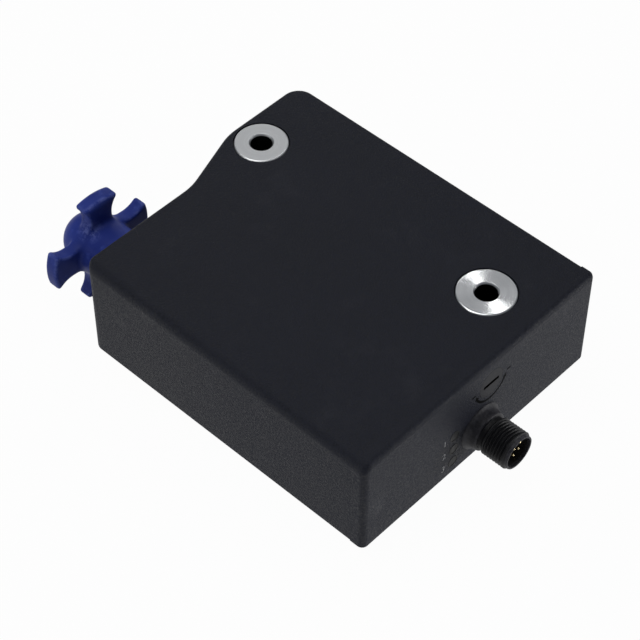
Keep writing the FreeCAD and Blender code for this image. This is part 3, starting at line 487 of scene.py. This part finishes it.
SLOT_MATERIALS = {
    "housing_plastic": case_plastic(),
    "cover_plastic": moulded("cover_plastic", (0.013, 0.0135, 0.017), (0.021, 0.022, 0.026)),
    "bush_metal": faced_metal("bush_metal", (0.85, 0.86, 0.86), 0.17),
    "cross_plastic": cross_plastic(),
    "steel": metal("steel", (0.56, 0.56, 0.57), 0.32),
    "screw_steel": metal("screw_steel", (0.50, 0.50, 0.52), 0.30),
    "bearing_bronze": metal("bearing_bronze", (0.56, 0.38, 0.18), 0.42),
    "seal_rubber": rubber("seal_rubber"),
    "winding_copper": wound_wire("winding_copper", (0.60, 0.24, 0.10), "Y"),
    "bobbin_plastic": moulded("bobbin_plastic", (0.55, 0.53, 0.47), (0.66, 0.64, 0.58)),
    "connector_plastic": plug_plastic(),
    "carrier_plastic": moulded("carrier_plastic", (0.006, 0.006, 0.007), (0.011, 0.011, 0.012)),
    "contact_gold": metal("contact_gold", (0.95, 0.80, 0.48), 0.16),
    "board_green": board("board_green"),
    "chip_black": moulded("chip_black", (0.012, 0.012, 0.013), (0.022, 0.022, 0.024)),
    "capacitor_sleeve": metal("capacitor_sleeve", (0.62, 0.62, 0.64), 0.24),
    "lamp_white": moulded("lamp_white", (0.70, 0.70, 0.66), (0.82, 0.82, 0.78), (0.2, 0.3)),
    "pipe_clear": smoked_window("pipe_clear"),
    "spindle_plastic": slotted_plastic("spindle_plastic"),
    "coil_copper": wound_wire("coil_copper", (0.58, 0.27, 0.12), "X"),
}
NODE_SLOTS = {part["node"]: part["material_slot"] for part in frame["record"]["subparts"]}
for name, obj in frame["nodes"].items():
    obj.data.materials.clear()
    obj.data.materials.append(SLOT_MATERIALS[NODE_SLOTS[name]].material)


# ---------------------------------------------------------------- pieces
def new_piece(name, mesh, body, slot, material=None, crease=35.0):
    """A finished piece: one material, smooth but for edges sharper than the crease.

    A piece with no body is left without a parent."""
    obj = bpy.data.objects.new(name, mesh)
    bpy.context.scene.collection.objects.link(obj)
    mesh.materials.clear()
    mesh.materials.append(material or SLOT_MATERIALS[slot].material)
    mesh.shade_smooth()
    mesh.set_sharp_from_angle(angle=math.radians(crease))
    if body:
        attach(obj, body)
    return obj


def mesh_from(name, points, faces):
    mesh = bpy.data.meshes.new(name)
    mesh.from_pydata([tuple(p) for p in points], [], faces)
    tidy = bmesh.new()
    tidy.from_mesh(mesh)
    bmesh.ops.remove_doubles(tidy, verts=tidy.verts, dist=1e-7)
    bmesh.ops.recalc_face_normals(tidy, faces=tidy.faces)
    tidy.to_mesh(mesh)
    tidy.free()
    return mesh


def merged_copy(name, node):
    """A node's mesh with its loose triangles joined."""
    source = frame["nodes"][node].data
    return mesh_from(name, [v.co for v in source.vertices],
                     [tuple(p.vertices) for p in source.polygons])


def finely(points, start, end, step):
    """The profile with extra rows wherever a run lies between start and end along it."""
    fine = [points[0]]
    for (a, r), (b, q) in zip(points, points[1:]):
        rows = 1
        if min(a, b) >= start - 1e-6 and max(a, b) <= end + 1e-6 and b != a:
            rows = max(1, round(abs(b - a) / step))
        if a == b and r != q and start <= a <= end:
            rows = max(1, round(abs(q - r) / step))
        fine += [(a + (b - a) * k / rows, r + (q - r) * k / rows) for k in range(1, rows + 1)]
    return fine


def turned(name, profile, at, axis, sides):
    """Closed ring turned from a closed profile of (along, radius) in millimetres."""
    points, count = [], len(profile)
    for k in range(sides):
        c, s = math.cos(math.tau * k / sides), math.sin(math.tau * k / sides)
        for along, radius in profile:
            local = (along, radius * c, radius * s) if axis == "x" else \
                    (radius * c, radius * s, along)
            points.append(Vector(at) + Vector(local) * MM)
    faces = []
    for k in range(sides):
        for i in range(count):
            j, n = (i + 1) % count, (k + 1) % sides
            faces.append((k * count + i, k * count + j, n * count + j, n * count + i))
    return mesh_from(name, points, faces)


def threaded_plug():
    """The plug's shell with its real screw thread, run out at both ends."""
    inside = (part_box("connector_body")[0][0] - END_FACE) / MM
    start, end, crest = 5.4, 12.7, 5.95
    outer = [(0.0, 5.4), (0.0, 7.75), (0.15, 7.72), (0.4, 7.45), (0.75, 7.05), (1.15, 6.72),
             (1.7, 6.45), (2.3, 6.3), (3.2, 6.2), (3.45, 6.1), (3.6, 5.85), (3.68, 5.3),
             (4.8, 5.25), (5.1, 5.5), (5.4, crest), (12.7, crest), (12.95, 5.75),
             (13.05, 5.45), (13.2, 5.4), (13.85, 5.4), (14.05, 5.3), (14.1, 5.15)]
    profile = finely(outer, start, end, 0.09)
    profile += [(14.1, 4.95), (14.0, 4.8), (13.8, 4.75), (inside, 4.75), (inside, 5.4)]
    blank = turned("plug_blank", profile, (END_FACE, PLUG.y, PLUG.z), "x", 120)
    g = Grow("screw_thread", {
        "Pitch": 1.0 * MM, "Depth": 0.58 * MM, "Crest radius": crest * MM,
        "Start": END_FACE + start * MM, "End": END_FACE + end * MM,
        "Axis Y": PLUG.y, "Axis Z": PLUG.z})
    x, y, z = g.split(g.place())
    across, up = y - g["Axis Y"], z - g["Axis Z"]
    radius = reach(across, up)
    turn = (x / g["Pitch"] + up.angle(across) / math.tau).fraction()
    valley = ((turn - 0.5).size() * 2.0).fit(0.12, 0.88, 1.0, 0.0)
    run_in = ((x - g["Start"]) / g["Pitch"]).fit(0.0, 1.2)
    run_out = ((g["End"] - x) / g["Pitch"]).fit(0.0, 0.9)
    depth = valley * run_in * run_out * g["Depth"] * (radius > g["Crest radius"] - 0.00002)
    inwards = g.join(0.0, across / radius, up / radius)
    cut = g.move(g.start, g.stretch(inwards, depth * -1.0))
    mesh = g.bake(cut, blank, SLOT_MATERIALS["connector_plastic"].material)
    piece = new_piece("threaded_plug", mesh, "housing", "connector_plastic", crease=40.0)
    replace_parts(piece, "connector_body")


def faced_bush(side):
    """A fixing bush whose head carries the tool's fine facing marks."""
    node = BUSHES[side]
    low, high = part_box(node)
    at = centre(node)
    head, top = (high[0] - low[0]) / 2 / MM, (high[2] - low[2]) / MM
    bore, tube = 3.3, 5.2
    outer = [(0.0, bore), (top - 0.50, bore), (top - 0.12, bore + 0.34), (top - 0.03, bore + 0.42),
             (top, bore + 0.48), (top, head - 0.42), (top - 0.04, head - 0.30),
             (top - 0.30, head), (top - 2.0, head), (top - 2.0, tube), (0.4, tube),
             (0.0, tube - 0.4)]
    blank = turned(side + "_blank", finely(outer, top - 0.01, top + 0.01, 0.045),
                   (at.x, at.y, low[2]), "z", 160)
    depth = {"left": 0.004, "right": 0.018}[side]
    g = Grow("facing_marks", {"Feed": 0.18 * MM, "Depth": depth * MM, "Face": high[2],
                              "Outer radius": (head - 0.42) * MM, "Axis X": at.x, "Axis Y": at.y})
    x, y, z = g.split(g.place())
    across, up = x - g["Axis X"], y - g["Axis Y"]
    radius = reach(across, up)
    turn = (radius / g["Feed"] + up.angle(across) / math.tau) * math.tau
    on_face = (z > g["Face"] - 0.000005) * (radius < g["Outer radius"] - 0.00002)
    cut = g.move(g.start, g.join(0.0, 0.0, (turn.sine() - 1.0) * 0.5 * g["Depth"] * on_face))
    mesh = g.bake(cut, blank, SLOT_MATERIALS["bush_metal"].material)
    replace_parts(new_piece("faced_bush_" + side, mesh, "housing", "bush_metal"), node)


def moulded_cross():
    """The cross with its arms blended softly into the hub, and its wear measured."""
    blank = bpy.data.objects.new("cross_blank", merged_copy("cross_blank", "rotary_cross"))
    bpy.context.scene.collection.objects.link(blank)
    remesh = blank.modifiers.new("even", "REMESH")
    remesh.mode, remesh.voxel_size = "VOXEL", 0.00032
    depsgraph = bpy.context.evaluated_depsgraph_get()
    even = bpy.data.meshes.new_from_object(blank.evaluated_get(depsgraph))
    bpy.data.objects.remove(blank)
    g = Grow("soft_blends", {"Axis Y": CROSS_AXIS.y, "Axis Z": CROSS_AXIS.z,
                             "Root": 9.4 * MM, "Arm": 11.6 * MM})
    x, y, z = g.split(g.place())
    across, up = y - g["Axis Y"], z - g["Axis Z"]
    radius = reach(across, up)

    def relaxed(rounds):
        return g.node("GeometryNodeBlurAttribute", {"Value": g.place(), "Iterations": rounds},
                      data_type="FLOAT_VECTOR")
    out = radius.fit(g["Root"], g["Arm"])
    soft, firm = relaxed(22), relaxed(2)
    target = g.node("ShaderNodeMix", {"Factor": out, 4: soft, 5: firm}, 1, data_type="VECTOR")
    shaped = g.node("GeometryNodeSetPosition", {"Geometry": g.start, "Position": target})
    normal = g.node("GeometryNodeInputNormal")
    proud = g.node("ShaderNodeVectorMath", {0: g.vector("SUBTRACT", g.place(), relaxed(14)),
                                            1: normal}, "Value", operation="DOT_PRODUCT")
    kept = g.node("GeometryNodeStoreNamedAttribute", {
        "Geometry": shaped, "Name": "edge", "Value": proud / MM}, data_type="FLOAT",
        domain="POINT")
    baked = g.bake(kept, even, SLOT_MATERIALS["cross_plastic"].material)
    piece = new_piece("moulded_cross", baked, "rotor", "cross_plastic", crease=80.0)
    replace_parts(piece, "rotary_cross")


def domed_pins():
    """Eight contacts with domed tips, seven on a circle and one in the middle."""
    low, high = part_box("contact_pins")
    ring, radius, length = 2.75, 0.4, (high[0] - low[0]) / MM
    tip = [(length - 0.45, radius), (length - 0.22, 0.36), (length - 0.07, 0.25), (length, 0.08)]
    g = Grow("contact_ring", {"Circle radius": ring * MM, "Low end": low[0], "Axis Y": PLUG.y,
                              "Axis Z": PLUG.z})
    circle = g.node("GeometryNodeMeshCircle", {"Vertices": 7, "Radius": g["Circle radius"]})
    turned_circle = g.node("GeometryNodeTransform", {
        "Geometry": circle, "Rotation": (0.0, 0.0, math.radians(15))})
    upright = g.node("GeometryNodeTransform", {
        "Geometry": turned_circle, "Rotation": (math.radians(90), 0.0, math.radians(90))})
    middle = g.node("GeometryNodeMeshLine", {"Count": 1})
    seats = g.node("GeometryNodeJoinGeometry")
    for geometry in (upright, middle):
        g.feed(seats.socket.node.inputs[0], geometry)
    placed = g.node("GeometryNodeSetPosition", {
        "Geometry": seats, "Offset": g.join(g["Low end"], g["Axis Y"], g["Axis Z"])})
    pins = g.node("GeometryNodeInstanceOnPoints", {"Points": placed, "Instance": g.start})
    pin = turned("pin", [(0.0, 0.001), (0.0, radius)] + tip + [(length, 0.001)], (0, 0, 0), "x", 20)
    mesh = g.bake(pins, pin, SLOT_MATERIALS["contact_gold"].material)
    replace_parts(new_piece("domed_pins", mesh, "housing", "contact_gold"), "contact_pins")


def window_rings():
    """A thin raised rim round each light window, coloured near black as painted shade of an
    engraved ring.
    """
    rim = turned("rim", [(-0.05, 1.62), (0.06, 1.64), (0.09, 1.75), (0.06, 1.86), (-0.05, 1.88)],
                 (0, 0, 0), "x", 48)
    g = Grow("window_rims", {"Face": END_FACE, "Across": WINDOWS_Y, "Lowest": LOWEST_WINDOW,
                             "Pitch": (HIGHEST_WINDOW - LOWEST_WINDOW) / 2})
    line = g.node("GeometryNodeMeshLine", {
        "Count": 3, "Start Location": g.join(g["Face"], g["Across"], g["Lowest"]),
        "Offset": g.join(0.0, 0.0, g["Pitch"])})
    rims = g.node("GeometryNodeInstanceOnPoints", {"Points": line, "Instance": g.start})
    # painted shade: the rim's near-black colour stands for the shade in an engraved ring
    material = ink("window_rim", (0.003, 0.003, 0.0035), 0.3).material
    mesh = g.bake(rims, rim, material)
    new_piece("window_rims", mesh, "housing", "housing_plastic", material)


def on_end_face(mesh, y, z, turn=0.0):
    """Lays a flat drawing on the connector face: its right is +Y and its top is +Z."""
    frame_turn = Matrix(((0, 0, 1), (1, 0, 0), (0, 1, 0))).to_4x4()
    mesh.transform(Matrix.Translation((END_FACE, y, z)) @ frame_turn
                   @ Matrix.Rotation(turn, 4, "Z"))
    return mesh


def flat_arc(name, radius, width, start, end, steps=40, thick=0.02):
    """Curved strip in the XY plane, thin but solid."""
    points, faces = [], []
    for k in range(steps + 1):
        a = start + (end - start) * k / steps
        for r, h in ((radius - width / 2, 0), (radius + width / 2, 0),
                     (radius + width / 2, thick), (radius - width / 2, thick)):
            points.append((r * math.cos(a) * MM, r * math.sin(a) * MM, h * MM))
    for k in range(steps):
        for i in range(4):
            j = (i + 1) % 4
            faces.append((4 * k + i, 4 * k + j, 4 * k + 4 + j, 4 * k + 4 + i))
    faces += [(3, 2, 1, 0), tuple(4 * steps + i for i in range(4))]
    return mesh_from(name, points, faces)


def plate(name, outline, thick=0.02):
    """Flat plate in the XY plane from an outline in millimetres."""
    count = len(outline)
    points = [(x * MM, y * MM, h * MM) for h in (0, thick) for x, y in outline]
    faces = [tuple(range(count))[::-1], tuple(range(count, 2 * count))]
    faces += [(i, (i + 1) % count, count + (i + 1) % count, count + i) for i in range(count)]
    return mesh_from(name, points, faces)


def joined(name, meshes):
    whole = bmesh.new()
    for mesh in meshes:
        whole.from_mesh(mesh)
    result = bpy.data.meshes.new(name)
    whole.to_mesh(result)
    whole.free()
    return result


def release_marks():
    """A turning arrow round the lower side of the release, with a tick at each end."""
    radius = 6.2
    first, last = math.radians(-158), math.radians(-22)
    parts = [flat_arc("arc", radius, 0.75, first, last)]
    for angle, way in ((first, -1), (last, 1)):
        c, s = math.cos(angle), math.sin(angle)
        along, out = (-s * way, c * way), (c, s)
        tip = [(radius * c + along[0] * a + out[0] * b, radius * s + along[1] * a + out[1] * b)
               for a, b in ((1.6, 0.0), (-0.1, 0.85), (-0.1, -0.85))]
        parts.append(plate("head", tip))
    for angle in (0.0, math.pi):
        parts.append(flat_arc("tick", 7.3, 1.5, angle - 0.045, angle + 0.045, 2))
    mesh = on_end_face(joined("release_marks", parts), RELEASE.y, RELEASE.z)
    new_piece("release_marks", mesh, "housing", "housing_plastic",
              ink("dark_ink", (0.0012, 0.0012, 0.0014), 0.03).material, crease=20.0)


def window_numbers():
    """Plain 1, 2 and 3 beside the light windows."""
    pale = ink("pale_ink", (0.42, 0.42, 0.42), 0.2).material
    pitch = (HIGHEST_WINDOW - LOWEST_WINDOW) / 2
    meshes = []
    for i, figure in enumerate("321"):
        text = bpy.data.curves.new("figure", "FONT")
        text.body, text.size, text.extrude = figure, 3.2 * MM, 0.01 * MM
        text.align_x, text.align_y = "CENTER", "CENTER"
        holder = bpy.data.objects.new("figure", text)
        bpy.context.scene.collection.objects.link(holder)
        depsgraph = bpy.context.evaluated_depsgraph_get()
        mesh = bpy.data.meshes.new_from_object(holder.evaluated_get(depsgraph))
        bpy.data.objects.remove(holder)
        mesh.transform(Matrix.Translation((0, 0, 0.01 * MM)))
        meshes.append(on_end_face(mesh, WINDOWS_Y - 4.0 * MM, LOWEST_WINDOW + pitch * i))
    new_piece("window_numbers", joined("window_numbers", meshes), "housing", "housing_plastic",
              pale, crease=20.0)


def coding_key():
    """The rib inside the plug's mouth that keys the socket."""
    floor, mouth = 4.6, 13.4
    profile = [(-0.45, 4.8), (-0.45, 4.25), (-0.30, 4.12), (0.30, 4.12), (0.45, 4.25), (0.45, 4.8)]
    points = [(END_FACE + x * MM, PLUG.y + a * MM, PLUG.z + b * MM)
              for x in (floor, mouth) for a, b in profile]
    count = len(profile)
    faces = [tuple(range(count)), tuple(range(count, 2 * count))]
    faces += [(i, (i + 1) % count, count + (i + 1) % count, count + i) for i in range(count)]
    new_piece("coding_key", mesh_from("coding_key", points, faces), "housing",
              "connector_plastic")


def closing_spring(name, node, axis, fixed, moving):
    """A coil spring copied from its part and fixed where it stands; it does not shorten or
    lengthen.
    """
    piece = new_piece(name, merged_copy(name, node), None, "steel", crease=50.0)
    start, end = centre(node), centre(node)
    start[axis], end[axis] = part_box(node)[fixed][axis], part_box(node)[moving][axis]
    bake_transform(piece)
    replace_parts(piece, node)


threaded_plug()
for side in BUSHES:
    faced_bush(side)
moulded_cross()
domed_pins()
window_rings()
release_marks()
window_numbers()
coding_key()
closing_spring("bolt_return_spring", "bolt_spring", axis=1, fixed=0, moving=1)
closing_spring("detent_coil_spring", "detent_spring", axis=0, fixed=1, moving=0)


# ---------------------------------------------------------------- studio
def add_floor():
    """Even white to the camera and in gloss; the rest of it takes the shadow."""
    half_side, height = 4.0, CAD_BOX[0][2] - 0.0002
    corners = [(x * half_side, y * half_side) for x, y in ((-1, -1), (1, -1), (1, 1), (-1, 1))]
    mesh = bpy.data.meshes.new("floor")
    mesh.from_pydata([(x, y, height) for x, y in corners], [], [(0, 1, 2, 3)])
    floor = bpy.data.objects.new("floor", mesh)
    bpy.context.scene.collection.objects.link(floor)
    s = Shade("floor_white", Roughness=0.9, Specular_IOR_Level=0.1)
    s.set("Base Color", s.mix(s.noise(3.0).fit(0.3, 0.7), (0.66, 0.66, 0.66), (0.68, 0.68, 0.68)))
    rays = s.node("ShaderNodeLightPath").socket.node.outputs
    camera, gloss, clear = [Wire(s, rays["Is %s Ray" % kind]) for kind in
                            ("Camera", "Glossy", "Transmission")]
    share = camera * 0.97 + gloss * 0.90 + clear * 0.90
    white = s.node("ShaderNodeEmission", {"Color": (1, 1, 1), "Strength": 1.0})
    s.show(s.node("ShaderNodeMixShader", {0: share, 1: s.surface, 2: white}))
    mesh.materials.append(s.material)


def add_world():
    """White where the camera looks past the floor, a dim cool room for everything else."""
    world = bpy.data.worlds.new("studio")
    bpy.context.scene.world = world
    world.use_nodes = True
    web = Web(world.node_tree)
    web.tree.nodes.clear()
    path = web.node("ShaderNodeLightPath", output="Is Camera Ray")
    room = web.node("ShaderNodeBackground", {"Color": (0.80, 0.84, 0.92), "Strength": 0.21})
    white = web.node("ShaderNodeBackground", {"Color": (1, 1, 1), "Strength": 1.0})
    out = web.node("ShaderNodeOutputWorld")
    web.feed(out.inputs["Surface"], web.node("ShaderNodeMixShader", {0: path, 1: room, 2: white}))


def add_light(name, at, aim, size, power):
    lamp = bpy.data.lights.new(name, "AREA")
    lamp.shape, lamp.size, lamp.size_y, lamp.energy = "RECTANGLE", size[0], size[1], power
    obj = bpy.data.objects.new(name, lamp)
    obj.location = at
    obj.rotation_euler = (Vector(aim) - Vector(at)).to_track_quat("-Z", "Y").to_euler()
    bpy.context.scene.collection.objects.link(obj)


add_floor()
add_world()
add_light("overhead", (-0.25, -0.20, 1.20), (0, -0.02, 0), (0.9, 0.9), 6.4)
add_light("glint", (-0.10, 0.50, 1.00), (0, 0, 0.02), (0.20, 0.20), 1.05)
add_light("far_panel", (-0.45, 0.55, 0.60), (0, 0, 0.02), (1.0, 0.5), 0.36)
add_light("right_low", (0.60, 0.42, 0.04), (0.06, -0.02, 0.015), (0.35, 0.15), 3.0)
add_light("back_low", (-0.75, 0.55, 0.30), (-0.03, 0, 0.015), (0.5, 0.3), 0.7)
add_light("front_low", (-0.35, -0.80, 0.14), (0, -0.05, 0.015), (0.6, 0.2), 1.3)
